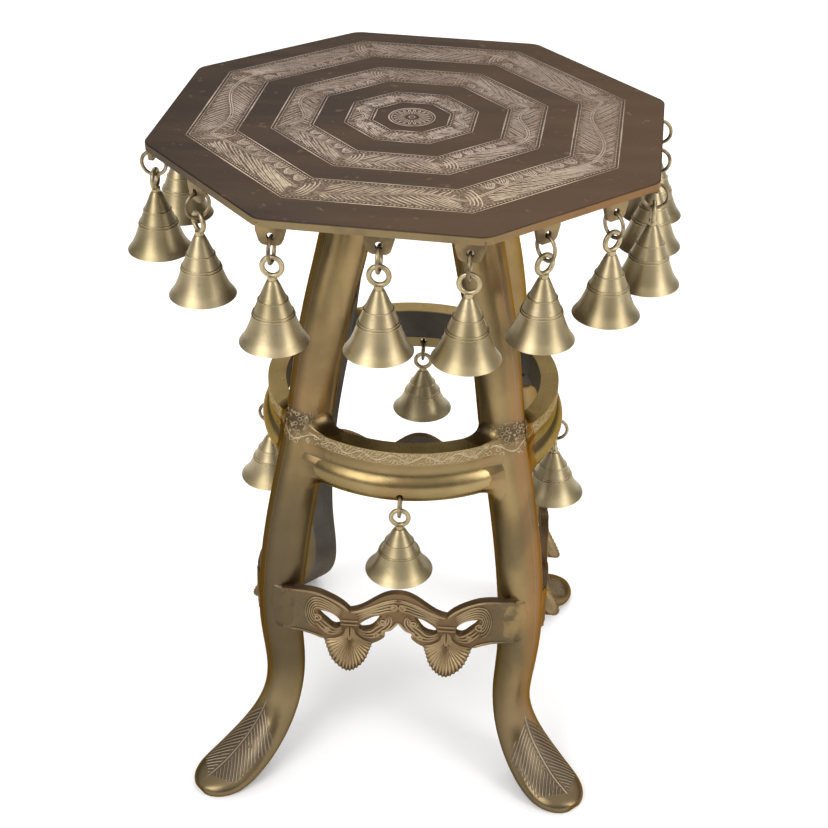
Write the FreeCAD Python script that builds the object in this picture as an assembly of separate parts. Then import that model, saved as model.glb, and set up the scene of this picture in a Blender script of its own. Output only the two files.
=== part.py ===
import FreeCAD, Part
import math
import os

# Brass stool with hanging bells, in millimetres.
# Z is up. The origin is on the floor under the middle of the octagonal top, front apron to -Y.

# Sizes of the whole stool
stool_height = 455.0
top_across_flats = 305.0
top_thickness = 5.0
top_corner_radius = 12.0
top_edge_round = 0.8
top_turn = -4.0
leg_axis_x = 3.4
leg_axis_y = -0.8
play = 0.3
thread_play = 0.1

# Sizes of the bells, their casting loops and the wire links that they hang from
top_bell_height = 38.5
top_bell_lip_radius = 20.1
ring_bell_height = 32.5
ring_bell_lip_radius = 22.0
bell_wall = 1.8
bell_ridge_proud = 0.45
bell_neck_drop = 1.2
bell_neck_radius = 2.7
loop_radius = 5.6
loop_wire_radius = 1.5
link_radius = 7.6
link_wire_radius = 1.1

# Sizes of a lug that carries a link
lug_top_width = 17.0
lug_bottom_width = 12.0
lug_thickness = 2.5
lug_hole_radius = 2.3
lug_hole_drop = 5.4
lug_below_hole = 5.2
lug_corner_radius = 4.0
lug_root = 2.0
lug_inset = 0.5

# Sizes of a leg
leg_reach = 184.0
leg_width = 31.5
leg_depth = 27.0
pad_radius_out = 31.0
pad_radius_side = 17.0
pad_thickness = 5.0
pad_share = 0.277
foot_bend_share = 0.19

# Sizes of the screws that hold the top on the leg pads
screw_radius = 2.4
screw_bite = 3.5
screw_head_radius = 4.2
screw_head_height = 2.8
screw_slot_width = 1.2
screw_slot_depth = 1.3
screw_head_round = 1.3
screw_spacing = 44.0

# Sizes of the hoop that ties the legs, its radii counted from the outer face of its band
hoop_top = 274.6
hoop_band_share = 0.5326
hoop_band_height = 9.8
hoop_step = 0.5
hoop_cove_depth = 0.4
hoop_cove_height = 8.0
hoop_bulge_proud = 4.3
hoop_height = 35.8
hoop_foot_proud = 1.0
hoop_width = 12.0
hoop_inner_height = 22.0
hoop_lip_height = 7.8
hoop_lip_depth = 2.0
hoop_rail_span = 82.0
hoop_hole_height = 4.5
hoop_hole_proud = 0.7
hoop_lip_thickness = 6.4

# Sizes of a pierced apron, its place counted from the middle of the legs
apron_share = 0.45
apron_outset = 12.7
apron_end_inset = 4.8
apron_thickness = 5.0
apron_tip = 102.5
apron_rise = 58.3
apron_flare = 12.0

# Places of the eighteen bells, as shares of the way round the top from its front left corner
bell_place_shares = [
    0.008, 0.067, 0.116, 0.168, 0.218, 0.272, 0.323, 0.369, 0.424,
    0.479, 0.534, 0.589, 0.641, 0.697, 0.763, 0.812, 0.863, 0.934,
]

# Outer profile of a bell from crown to lip: share of the height, share of the lip radius
bell_profile_shares = [
    (0.00, 0.150), (0.04, 0.190), (0.16, 0.290), (0.31, 0.415), (0.42, 0.497),
    (0.52, 0.575), (0.62, 0.638), (0.72, 0.705), (0.82, 0.785), (0.90, 0.865), (0.96, 0.945), (1.00, 1.000),
]
bell_crown_share = 0.15
bell_ridge_shares = [(0.300, 0.320), (0.500, 0.522), (0.540, 0.562)]

# Stations down a leg: share of the reach, of the height, of the width and of the depth
leg_station_shares = [
    (0.272, 1.000, 0.95, 0.92), (0.297, 0.935, 1.00, 0.96), (0.335, 0.865, 1.00, 1.00),
    (0.397, 0.785, 0.95, 1.00), (0.446, 0.704, 0.90, 1.00), (0.480, 0.628, 0.88, 1.00),
    (0.529, 0.544, 0.88, 1.02), (0.583, 0.455, 0.89, 1.04), (0.625, 0.356, 0.92, 1.00),
    (0.636, 0.267, 0.86, 0.94), (0.622, 0.195, 0.79, 0.89), (0.619, 0.142, 0.78, 0.86),
    (0.650, 0.096, 0.92, 0.82), (0.712, 0.060, 1.12, 0.76), (0.785, 0.035, 1.28, 0.68),
    (0.850, 0.020, 1.33, 0.60), (0.905, 0.013, 1.26, 0.52), (0.948, 0.010, 1.04, 0.43),
    (0.976, 0.008, 0.75, 0.34), (0.992, 0.007, 0.40, 0.24),
]

# Half outline of a leg's section from the outer face to the flat back: share of the width, of the depth
leg_section_shares = [
    (0.00, 0.50), (0.26, 0.44), (0.43, 0.24), (0.50, -0.06),
    (0.47, -0.34), (0.36, -0.47), (0.18, -0.50), (0.00, -0.50),
]

# How far each hand-bent foot stands out and to its left, beside the pattern
foot_out_front_right = -5.3
foot_left_front_right = 2.9
foot_out_back_right = -10.1
foot_left_back_right = 4.0
foot_out_back_left = -5.4
foot_left_back_left = -4.4
foot_out_front_left = 6.4
foot_left_front_left = -2.6

# Right half of the apron's outline: share of the half span, share of the rise above the shell's tip
crest_shares = [(0.419, 0.724), (0.339, 0.759), (0.246, 0.845), (0.116, 0.970), (0.000, 1.008)]
shoulder_shares = [
    (0.419, 0.724), (0.475, 0.806), (0.571, 0.894), (0.709, 0.974), (0.819, 0.995), (1.000, 1.000),
]
under_shares = [(1.000, 0.400), (0.835, 0.378), (0.761, 0.348), (0.692, 0.319), (0.641, 0.288)]
shell_shares = [
    (0.641, 0.288), (0.612, 0.184), (0.570, 0.094), (0.498, 0.029), (0.419, 0.000),
    (0.346, 0.027), (0.282, 0.094), (0.248, 0.187), (0.224, 0.270),
]
scroll_shares = [(0.224, 0.270), (0.164, 0.308), (0.118, 0.360)]
web_shares = [(0.118, 0.360), (0.123, 0.447)]
arch_shares = [(0.123, 0.447), (0.063, 0.473), (0.022, 0.541), (0.000, 0.586)]
inner_eye_shares = [
    (0.137, 0.681), (0.211, 0.659), (0.284, 0.594), (0.332, 0.526), (0.336, 0.465),
    (0.254, 0.464), (0.187, 0.553), (0.137, 0.681),
]
outer_eye_shares = [
    (0.703, 0.710), (0.670, 0.614), (0.606, 0.525), (0.556, 0.472), (0.506, 0.487),
    (0.504, 0.566), (0.538, 0.631), (0.603, 0.684), (0.703, 0.710),
]

# How an apron's shells bend outwards: share of the rise, share of the flare
flare_shares = [
    (0.350, 0.000), (0.270, 0.080), (0.184, 0.257), (0.094, 0.550), (0.029, 0.840), (-0.040, 1.200),
]

# Counts and angles
top_sides = 8
leg_count = 4
side_angle = 360.0 / top_sides
leg_angle = 360.0 / leg_count
front_azimuth = -90.0
side_names = ["front", "right", "back", "left"]
leg_names = ["front_right", "back_right", "back_left", "front_left"]
foot_shifts = [
    (foot_out_front_right, foot_left_front_right),
    (foot_out_back_right, foot_left_back_right),
    (foot_out_back_left, foot_left_back_left),
    (foot_out_front_left, foot_left_front_left),
]

# Sizes that follow
apothem = top_across_flats / 2
top_side = top_across_flats * math.tan(math.radians(side_angle / 2))
top_under = stool_height - top_thickness
lug_distance = apothem - lug_inset - lug_thickness / 2
top_hole_height = top_under - lug_hole_drop
bell_pivot_drop = 2 * link_radius - link_wire_radius - play - loop_wire_radius
crown_drop = 2 * loop_radius + loop_wire_radius + bell_neck_drop
pad_centre_radius = leg_reach * pad_share
hoop_band_radius = leg_reach * hoop_band_share
hoop_hole_radius = hoop_band_radius + hoop_hole_proud
hoop_hole_level = hoop_top - hoop_height + hoop_hole_height
apron_distance = leg_reach * apron_share + apron_outset
apron_half_span = leg_reach * apron_share - apron_end_inset

axis_z = FreeCAD.Vector(0, 0, 1)
centre = FreeCAD.Vector(0, 0, 0)


def moved(shape, x, y, z):
    copy = shape.copy()
    copy.translate(FreeCAD.Vector(x, y, z))
    return copy


def turned(shape, angle):
    copy = shape.copy()
    copy.rotate(centre, axis_z, angle)
    return copy


def on_leg_axis(shape, angle):
    return moved(turned(shape, angle), leg_axis_x, leg_axis_y, 0)


def smooth_curve(points):
    curve = Part.BSplineCurve()
    curve.interpolate(points)
    return curve


def export(shape, name):
    shape.exportStep("parts/" + name + ".step")


def link_drop(thickness):
    sag = link_radius - math.sqrt(link_radius ** 2 - (thickness / 2) ** 2)
    return lug_hole_radius - play - sag - link_wire_radius


# Lug: a flat tongue across the Y axis with its hole at the origin, rounded below
def make_lug():
    top = lug_hole_drop + lug_root
    outline = [
        FreeCAD.Vector(-lug_top_width / 2, -lug_thickness / 2, top),
        FreeCAD.Vector(-lug_top_width / 2, -lug_thickness / 2, lug_hole_drop - lug_root),
        FreeCAD.Vector(-lug_bottom_width / 2, -lug_thickness / 2, -lug_below_hole),
        FreeCAD.Vector(lug_bottom_width / 2, -lug_thickness / 2, -lug_below_hole),
        FreeCAD.Vector(lug_top_width / 2, -lug_thickness / 2, lug_hole_drop - lug_root),
        FreeCAD.Vector(lug_top_width / 2, -lug_thickness / 2, top),
    ]
    face = Part.Face(Part.makePolygon(outline + outline[:1]))
    tongue = face.extrude(FreeCAD.Vector(0, lug_thickness, 0))
    low_edges = []
    for edge in tongue.Edges:
        ends = [vertex.Point.z for vertex in edge.Vertexes]
        if max(ends) < 0 and edge.Length < lug_bottom_width / 2:
            low_edges.append(edge)
    tongue = tongue.makeFillet(lug_corner_radius, low_edges)
    start = FreeCAD.Vector(0, -lug_thickness, 0)
    hole = Part.makeCylinder(lug_hole_radius, 2 * lug_thickness, start, FreeCAD.Vector(0, 1, 0))
    return tongue.cut(hole)


# Link: a closed wire ring in the YZ plane, hanging from the origin
def make_link():
    middle = FreeCAD.Vector(0, 0, -link_radius)
    return Part.makeTorus(link_radius, link_wire_radius, middle, FreeCAD.Vector(1, 0, 0))


# Bell: a turned hollow cone with three proud ridges under a cast loop, hanging from the origin
def make_bell(height, lip_radius):
    def place(height_share, radius):
        return FreeCAD.Vector(radius, 0, -crown_drop - height * height_share)

    outer = smooth_curve([place(h, r * lip_radius) for h, r in bell_profile_shares])
    edges = []
    last = outer.FirstParameter
    for start, end in bell_ridge_shares:
        cuts = []
        for share in (start, end):
            level = Part.Line(place(share, 0), place(share, lip_radius))
            cuts.append(outer.parameter(outer.intersectCC(level)[0].toShape().Point))
        edges.append(outer.toShape(last, cuts[0]))
        low = outer.value(cuts[0])
        high = outer.value(cuts[1])
        peak = (low + high) * 0.5 + FreeCAD.Vector(bell_ridge_proud, 0, bell_ridge_proud / 2)
        edges.append(Part.Arc(low, peak, high).toShape())
        last = cuts[1]
    edges.append(outer.toShape(last, outer.LastParameter))
    inner_points = []
    for height_share, radius_share in reversed(bell_profile_shares):
        if height_share > bell_crown_share:
            inner_points.append(place(height_share, radius_share * lip_radius - bell_wall))
    edges.append(Part.makeLine(place(1, lip_radius), inner_points[0]))
    edges.append(smooth_curve(inner_points).toShape())
    crown = FreeCAD.Vector(0, 0, inner_points[-1].z)
    edges.append(Part.makeLine(inner_points[-1], crown))
    edges.append(Part.makeLine(crown, place(0, 0)))
    edges.append(Part.makeLine(place(0, 0), place(0, bell_profile_shares[0][1] * lip_radius)))
    face = Part.Face(Part.Wire(Part.__sortEdges__(edges)))
    body = face.revolve(centre, axis_z, 360)
    loop_middle = FreeCAD.Vector(0, 0, -loop_radius)
    loop = Part.makeTorus(loop_radius, loop_wire_radius, loop_middle, FreeCAD.Vector(0, 1, 0))
    neck_length = loop_wire_radius + 2 * bell_neck_drop
    neck_foot = place(0, 0) - FreeCAD.Vector(0, 0, bell_neck_drop)
    neck = Part.makeCylinder(bell_neck_radius, neck_length, neck_foot)
    return body.fuse([neck, loop]).removeSplitter()


# Leg: a bar with a rounded face and a flat back that leans out, turns in at the ankle and ends
# in a broad tongue on the floor. It stands along +X with a screw pad at its head.
def leg_section(place, way, width, depth):
    out = FreeCAD.Vector(-way.z, 0, way.x)
    half = []
    for width_share, depth_share in leg_section_shares:
        half.append((width_share * width, depth_share * depth))
    both = half + [(-side, rise) for side, rise in reversed(half[1:-1])]
    points = [place + out * rise + FreeCAD.Vector(0, side, 0) for side, rise in both]
    curve = Part.BSplineCurve()
    curve.interpolate(points, PeriodicFlag=True)
    return Part.Wire(curve.toShape())


def make_leg(foot_out, foot_left):
    places = []
    for reach_share, height_share, width_share, depth_share in leg_station_shares:
        bend = max(1 - height_share / foot_bend_share, 0)
        reach = leg_reach * reach_share + foot_out * bend
        places.append(FreeCAD.Vector(reach, foot_left * bend, top_under * height_share))
    sections = []
    for index, station in enumerate(leg_station_shares):
        before = places[max(index - 1, 0)]
        after = places[min(index + 1, len(places) - 1)]
        way = FreeCAD.Vector(after.x - before.x, 0, after.z - before.z).normalize()
        sections.append(leg_section(places[index], way, leg_width * station[2], leg_depth * station[3]))
    bar = Part.makeLoft(sections, True, False)
    low_corner = FreeCAD.Vector(0, -leg_reach / 2, -leg_depth)
    floor = Part.makeBox(2 * leg_reach, leg_reach, leg_depth, low_corner)
    ceiling = Part.makeBox(2 * leg_reach, leg_reach, leg_depth, FreeCAD.Vector(0, -leg_reach / 2, top_under))
    pad_middle = FreeCAD.Vector(pad_centre_radius, 0, top_under - pad_thickness)
    oval = Part.Ellipse(pad_middle, pad_radius_out, pad_radius_side)
    pad = Part.Face(Part.Wire(oval.toShape())).extrude(FreeCAD.Vector(0, 0, pad_thickness))
    holes = []
    for x in screw_places():
        start = FreeCAD.Vector(x, 0, top_under - pad_thickness)
        holes.append(Part.makeCylinder(screw_radius + play, pad_thickness, start))
    return bar.cut([floor, ceiling]).fuse(pad).cut(holes).removeSplitter()


# Screws: two through each pad, with a slotted head below and the thread in the top
def screw_places():
    return [pad_centre_radius - screw_spacing / 2, pad_centre_radius + screw_spacing / 2]


def make_screw():
    shank = Part.makeCylinder(screw_radius, pad_thickness + screw_bite)
    head = Part.makeCylinder(screw_head_radius, screw_head_height, FreeCAD.Vector(0, 0, -screw_head_height))
    rim = [edge for edge in head.Edges if edge.BoundBox.ZMax < -screw_head_height / 2]
    head = head.makeFillet(screw_head_round, rim)
    corner = FreeCAD.Vector(-screw_head_radius, -screw_slot_width / 2, -screw_head_height)
    slot = Part.makeBox(2 * screw_head_radius, screw_slot_width, screw_slot_depth, corner)
    return head.cut(slot).fuse(shank).removeSplitter()


# Top: an octagonal plate with rounded corners and eight threaded holes
def make_top():
    corner_radius = apothem / math.cos(math.radians(side_angle / 2))
    corners = []
    for index in range(top_sides + 1):
        angle = math.radians(front_azimuth + side_angle * (index - 0.5))
        corner = FreeCAD.Vector(corner_radius * math.cos(angle), corner_radius * math.sin(angle), top_under)
        corners.append(corner)
    plate = Part.Face(Part.makePolygon(corners)).extrude(FreeCAD.Vector(0, 0, top_thickness))
    upright = [edge for edge in plate.Edges if edge.BoundBox.ZLength > top_thickness / 2]
    plate = plate.makeFillet(top_corner_radius, upright)
    upper = [edge for edge in plate.Edges if edge.BoundBox.ZMin > top_under + top_thickness / 2]
    plate = plate.makeFillet(top_edge_round, upper)
    holes = []
    for index in range(leg_count):
        for x in screw_places():
            start = FreeCAD.Vector(x, 0, top_under)
            hole = Part.makeCylinder(screw_radius + thread_play, screw_bite, start)
            holes.append(on_leg_axis(hole, leg_angle * (index - 0.5)))
    return turned(plate, top_turn).cut(holes)


# Top lugs: eighteen tongues brazed under the plate, ending at its underside
def moved_to_bell(shape, share, drop):
    along = share * top_sides * top_side
    side = int(along // top_side)
    offset = along - top_side * (side + 0.5)
    return turned(moved(shape, offset, -lug_distance, top_hole_height - drop), side_angle * side + top_turn)


# Hoop rail: an arc casting between two legs, with a plain band, a cove, a rounded bulge and a thin
# lower lip with the hole for a link
def make_rail():
    def place(proud, drop):
        return FreeCAD.Vector(hoop_band_radius + proud, 0, hoop_top - drop)

    cove_start = hoop_band_height + hoop_step
    cove_end = cove_start + hoop_cove_height
    band_top = place(0, 0)
    band_foot = place(0, hoop_band_height)
    neck = place(-hoop_step, cove_start)
    cove_middle = place(-hoop_step - hoop_cove_depth, (cove_start + cove_end) / 2)
    bulge_start = place(0, cove_end)
    bulge_middle = place(hoop_bulge_proud, (cove_end + hoop_height) / 2)
    corners = [
        place(hoop_foot_proud, hoop_height),
        place(-hoop_lip_depth, hoop_height),
        place(-hoop_lip_depth, hoop_height - hoop_lip_height),
        place(-hoop_width + hoop_step, hoop_inner_height),
        place(-hoop_width, 0),
        band_top,
        band_foot,
        neck,
    ]
    edges = [Part.makeLine(start, end) for start, end in zip(corners, corners[1:])]
    edges.append(Part.Arc(neck, cove_middle, bulge_start).toShape())
    edges.append(Part.Arc(bulge_start, bulge_middle, corners[0]).toShape())
    section = Part.Face(Part.Wire(Part.__sortEdges__(edges)))
    rail = turned(section, front_azimuth - hoop_rail_span / 2).revolve(centre, axis_z, hoop_rail_span)
    start = FreeCAD.Vector(0, -hoop_hole_radius + hoop_lip_thickness, hoop_hole_level)
    hole = Part.makeCylinder(lug_hole_radius, 2 * hoop_lip_thickness, start, FreeCAD.Vector(0, -1, 0))
    return rail.cut(hole)


# Apron: a pierced casting with two arched shoulders, a middle crest and two hanging shells that
# bend outwards. Its outline is cut through a bent sheet.
def make_sheet():
    back = -apron_distance + apron_thickness / 2
    bend = []
    for rise_share, flare_share in flare_shares:
        level = apron_tip + apron_rise * rise_share
        bend.append(FreeCAD.Vector(-apron_half_span, back - apron_flare * flare_share, level))
    through = FreeCAD.Vector(0, -apron_thickness, 0)
    top = FreeCAD.Vector(-apron_half_span, back, apron_tip + 2 * apron_rise)
    inner = smooth_curve(bend)
    outer = inner.copy()
    outer.translate(through)
    edges = [
        Part.makeLine(top, bend[0]),
        inner.toShape(),
        Part.makeLine(bend[-1], bend[-1] + through),
        outer.toShape(),
        Part.makeLine(bend[0] + through, top + through),
        Part.makeLine(top + through, top),
    ]
    return Part.Face(Part.Wire(Part.__sortEdges__(edges))).extrude(FreeCAD.Vector(2 * apron_half_span, 0, 0))


def make_apron():
    def places(shares, sign):
        return [FreeCAD.Vector(sign * apron_half_span * x, 0, apron_tip + apron_rise * z) for x, z in shares]

    outline_shares = [
        crest_shares, shoulder_shares, under_shares, shell_shares, scroll_shares, web_shares, arch_shares,
    ]
    edges = []
    for sign in (1, -1):
        for shares in outline_shares:
            edges.append(smooth_curve(places(shares, sign)).toShape())
        ends = [places(shoulder_shares, sign)[-1], places(under_shares, sign)[0]]
        edges.append(Part.makeLine(ends[0], ends[1]))
    faces = [Part.Face(Part.Wire(Part.__sortEdges__(edges)))]
    for sign in (1, -1):
        for shares in (inner_eye_shares, outer_eye_shares):
            faces.append(Part.Face(Part.Wire(smooth_curve(places(shares, sign)).toShape())))
    solids = [face.extrude(FreeCAD.Vector(0, -2 * apron_distance, 0)) for face in faces]
    return make_sheet().common(solids[0].cut(solids[1:]))


# Building and export, every piece at its place
os.makedirs("parts", exist_ok=True)
top = make_top()
export(top, "top_plate")
lug = make_lug()
lugs = [moved_to_bell(lug, share, 0).cut(top) for share in bell_place_shares]
export(Part.makeCompound(lugs), "top_lugs")
legs = []
for index, name in enumerate(leg_names):
    foot_out, foot_left = foot_shifts[index]
    legs.append(on_leg_axis(make_leg(foot_out, foot_left), leg_angle * (index - 0.5)))
    export(legs[index], "leg_" + name)
screw = make_screw()
screws = []
for index in range(leg_count):
    for x in screw_places():
        standing = moved(screw, x, 0, top_under - pad_thickness)
        screws.append(on_leg_axis(standing, leg_angle * (index - 0.5)))
export(Part.makeCompound(screws), "top_screws")
link = make_link()
top_bell = make_bell(top_bell_height, top_bell_lip_radius)
ring_bell = make_bell(ring_bell_height, ring_bell_lip_radius)
rail = make_rail()
apron = make_apron()
ring_link_height = hoop_hole_level - link_drop(hoop_lip_thickness)
ring_bell_level = ring_link_height - bell_pivot_drop
for index, name in enumerate(side_names):
    angle = leg_angle * index
    both_legs = [legs[index - 1], legs[index]]
    export(on_leg_axis(rail, angle).cut(both_legs), "rail_" + name)
    export(on_leg_axis(apron, angle).cut(both_legs), "apron_" + name)
    export(on_leg_axis(moved(link, 0, -hoop_hole_radius, ring_link_height), angle), "ring_link_" + name)
    export(on_leg_axis(moved(ring_bell, 0, -hoop_hole_radius, ring_bell_level), angle), "ring_bell_" + name)
top_link_drop = link_drop(lug_thickness)
for index, share in enumerate(bell_place_shares):
    number = "%02d" % (index + 1)
    export(moved_to_bell(link, share, top_link_drop), "top_link_" + number)
    export(moved_to_bell(top_bell, share, top_link_drop + bell_pivot_drop), "top_bell_" + number)
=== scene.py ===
import math

import bmesh
import bpy
import numpy as np
from mathutils import Matrix


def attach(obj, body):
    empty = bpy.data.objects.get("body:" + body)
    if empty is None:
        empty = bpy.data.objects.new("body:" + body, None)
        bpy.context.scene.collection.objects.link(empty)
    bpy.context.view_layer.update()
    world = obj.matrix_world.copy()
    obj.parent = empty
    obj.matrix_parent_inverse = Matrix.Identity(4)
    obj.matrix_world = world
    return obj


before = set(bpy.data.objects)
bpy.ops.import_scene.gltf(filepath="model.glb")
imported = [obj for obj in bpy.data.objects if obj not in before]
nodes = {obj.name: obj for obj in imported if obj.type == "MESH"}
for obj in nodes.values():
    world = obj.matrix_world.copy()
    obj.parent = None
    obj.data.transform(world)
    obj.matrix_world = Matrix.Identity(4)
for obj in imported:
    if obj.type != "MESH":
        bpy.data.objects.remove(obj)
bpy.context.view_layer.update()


# Top plate: one cast brass octagon, its face darkened with a brown patina and its edge rubbed
# back to brass. It is screwed down on the leg pads, turned a little on them.
TOP_HEIGHT = 0.455
TOP_UNDER = 0.450
TOP_TURN = math.radians(-4.0)
# Outer apothem, inner apothem and spacing of the cuts of each engraved band, and the bands' middle.
BANDS = ((0.1289, 0.1003, 0.0026), (0.0813, 0.0574, 0.0024), (0.0395, 0.0230, 0.0020))
ENGRAVING_SHIFT = (-0.0012, 0.0050)
GROUND_FROM, GROUND_FULL = 0.0020, 0.0032
CURL_RADIUS = 0.40
TOP_GRAZE = (0.85, 0.74, 0.64)
PATINA_SHADE, PATINA_LIT = (0.034, 0.027, 0.025), (0.070, 0.043, 0.027)
PATINA_STREAK, PATINA_CHIP = (0.088, 0.058, 0.038), (0.170, 0.125, 0.085)
SCRATCHED_GROUND = (0.300, 0.225, 0.170)
RIM_GOLD, RIM_COPPER_REFLECTION, RIM_SHADE = (0.215, 0.158, 0.078), (0.230, 0.125, 0.055), (0.070, 0.058, 0.045)
RIM_STAIN, UNDERSIDE = (0.150, 0.105, 0.060), (0.115, 0.098, 0.085)


class Signal:
    """One socket of a material. Sums on it add Math nodes; any other node comes from node()."""

    def __init__(self, tree, socket):
        self.tree, self.socket = tree, socket

    def node(self, kind, settings=None, inputs=None, output=0):
        """One output of a new node: its settings are set first, then the values or links of its sockets."""
        made = self.tree.nodes.new(kind)
        for name, value in (settings or {}).items():
            if name == "stops":
                ramp = made.color_ramp
                while len(ramp.elements) < len(value):
                    ramp.elements.new(0.5)
                for element, (place, colour) in zip(ramp.elements, value):
                    element.position, element.color = place, (*colour, 1.0)
            else:
                setattr(made, name, value)
        for name, value in (inputs or {}).items():
            if isinstance(value, Signal):
                self.tree.links.new(value.socket, made.inputs[name])
            else:
                made.inputs[name].default_value = value
        return Signal(self.tree, made.outputs[output])

    def math(self, operation, *values):
        return self.node("ShaderNodeMath", {"operation": operation}, dict(enumerate(values)))

    def __add__(self, other):
        return self.math("ADD", self, other)

    __radd__ = __add__

    def __sub__(self, other):
        return self.math("SUBTRACT", self, other)

    def __rsub__(self, other):
        return self.math("SUBTRACT", other, self)

    def __mul__(self, other):
        return self.math("MULTIPLY", self, other)

    __rmul__ = __mul__

    def __truediv__(self, other):
        return self.math("DIVIDE", self, other)

    def sin(self):
        return self.math("SINE", self)

    def size(self):
        return self.math("ABSOLUTE", self)

    def least(self, other):
        return self.math("MINIMUM", self, other)

    def most(self, other):
        return self.math("MAXIMUM", self, other)

    def ease(self, low, high, start, end):
        """The start value below low and the end value above high, on a smooth step between them."""
        return self.node("ShaderNodeMapRange", {"interpolation_type": "SMOOTHSTEP"},
                         {0: self, 1: low, 2: high, 3: start, 4: end})

    def rise(self, low, high):
        """0 below low and 1 above high, eased between them."""
        return self.ease(low, high, 0.0, 1.0)

    def fall(self, low, high):
        """1 below low and 0 above high, eased between them."""
        return self.ease(low, high, 1.0, 0.0)

    def saw(self, period):
        """Distance to the nearest multiple of a period."""
        return self.math("PINGPONG", self, period / 2)

    def colour(self, first, second):
        """The mix of two colours by this mask. A colour is three numbers or a signal."""
        ends = [c if isinstance(c, Signal) else (*c, 1.0) for c in (first, second)]
        return self.node("ShaderNodeMix", {"data_type": "RGBA"}, {"Factor": self, 6: ends[0], 7: ends[1]}, 2)


class Finish:
    """A new material: its Principled shader, whose gloss at a grazing view takes the graze tint, its
    place in Object coordinates, and its normal."""

    def __init__(self, name, metallic, roughness, graze=(1.0, 1.0, 1.0)):
        self.material = bpy.data.materials.new(name)
        self.material.use_nodes = True
        self.tree = self.material.node_tree
        self.shader = self.tree.nodes["Principled BSDF"]
        self.shader.inputs["Metallic"].default_value = metallic
        self.shader.inputs["Roughness"].default_value = roughness
        self.shader.inputs["Specular Tint"].default_value = (*graze, 1.0)
        place = self.tree.nodes.new("ShaderNodeTexCoord")
        self.place = Signal(self.tree, place.outputs["Object"])
        self.normal = Signal(self.tree, place.outputs["Normal"])
        self.x, self.y, self.z = self.parts(self.place)

    def parts(self, vector):
        """The three numbers of a vector."""
        split = self.tree.nodes.new("ShaderNodeSeparateXYZ")
        self.tree.links.new(vector.socket, split.inputs[0])
        return [Signal(self.tree, output) for output in split.outputs]

    def noise(self, scale, detail, stretch=(1.0, 1.0, 1.0)):
        """Cloudy values about 0.5 with this many lumps in a metre, drawn out where a stretch is small."""
        at = self.place.node("ShaderNodeMapping", {}, {"Vector": self.place, "Scale": stretch})
        return at.node("ShaderNodeTexNoise", {}, {"Vector": at, "Scale": scale, "Detail": detail})

    def curls(self, scale, core, edge):
        """Small rings round scattered points, this many in a metre. The distance to the nearest point
        is compared with the ring's radius: 1 up to core from it, easing to 0 at edge."""
        away = self.place.node("ShaderNodeTexVoronoi", {}, {"Vector": self.place, "Scale": scale})
        return (away - CURL_RADIUS).size().fall(core, edge)

    def set(self, socket, signal):
        """Links a signal to a socket of the shader."""
        self.tree.links.new(signal.socket, self.shader.inputs[socket])

    def bump(self, height, depth):
        """Relief of the given depth in metres where height is 1."""
        relief = height.node("ShaderNodeBump", {}, {"Height": height, "Strength": 1.0, "Distance": depth})
        self.set("Normal", relief)

    def wear(self, *names):
        """Puts this material on CAD nodes in place of theirs."""
        for name in names:
            mesh = nodes[name].data
            mesh.materials.clear()
            mesh.materials.append(self.material)


# The dark face: paler to one side by painted light, with faint streaks and small chips.
patina = Finish("top_patina", 0.95, 0.42, TOP_GRAZE)
cloud = patina.noise(9.0, 4.0)
grain = patina.noise(60.0, 3.0, (0.15, 1.0, 1.0))
face = patina.z.rise(TOP_HEIGHT - 0.0011, TOP_HEIGHT - 0.0004)
# Painted light: the face is paler towards the right and the front.
lit = (patina.x * 2.6 + patina.y * -0.8 + cloud - 0.5).rise(-0.40, 0.50)
brown = lit.colour(PATINA_SHADE, PATINA_LIT)
brown = (grain.rise(0.40, 0.68) * 0.40).colour(brown, PATINA_STREAK)
brown = (patina.noise(170.0, 2.0).rise(0.66, 0.74) * 0.4).colour(brown, PATINA_CHIP)
# The ground of the bands: scratched paler between their borders, with curls. A point's apothem is the
# largest of its distances along the octagon's axes and diagonals.
east, north = patina.x - ENGRAVING_SHIFT[0], patina.y - ENGRAVING_SHIFT[1]
along = (east * math.cos(TOP_TURN) + north * math.sin(TOP_TURN)).size()
across = (north * math.cos(TOP_TURN) - east * math.sin(TOP_TURN)).size()
apothem = along.most(across).most((along + across) * math.sqrt(0.5))
scratched = 0.0
for outer, inner, _ in BANDS:
    past_inner = apothem.rise(inner + GROUND_FROM, inner + GROUND_FULL)
    scratched = scratched + past_inner * apothem.fall(outer - GROUND_FULL, outer - GROUND_FROM)
curls = patina.curls(300.0, 0.03, 0.12).most(patina.curls(210.0, 0.02, 0.08))
brown = (scratched * (0.16 + curls * 0.40)).colour(brown, SCRATCHED_GROUND)
# The rim: rubbed gold in front, a painted copper reflection on the right, painted shade on the left,
# stained; the underside is dull.
# Painted reflection: copper on the right. Painted shade: dark on the left.
rim_colour_and_light = patina.x.rise(0.02, 0.12).colour(RIM_GOLD, RIM_COPPER_REFLECTION)
rim_colour_and_light = patina.x.fall(-0.135, -0.06).colour(rim_colour_and_light, RIM_SHADE)
stain = patina.noise(55.0, 4.0).rise(0.50, 0.72)
rim_colour_and_light = (stain * 0.6).colour(rim_colour_and_light, RIM_STAIN)
facing_down = patina.parts(patina.normal)[2].fall(-0.9, -0.6)
under = patina.z.fall(TOP_UNDER - 0.0002, TOP_UNDER + 0.0004) * facing_down
rim_colour_and_light = under.colour(rim_colour_and_light, UNDERSIDE)
patina.set("Base Color", face.colour(rim_colour_and_light, brown))
patina.set("Roughness", 0.32 + cloud * 0.10 + grain * 0.12 + face * 0.06 + under * 0.25)
patina.bump(grain * 0.5 + cloud * 0.5 + patina.noise(420.0, 2.0) * 0.3, 0.00022)
patina.wear("top_plate")


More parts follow.
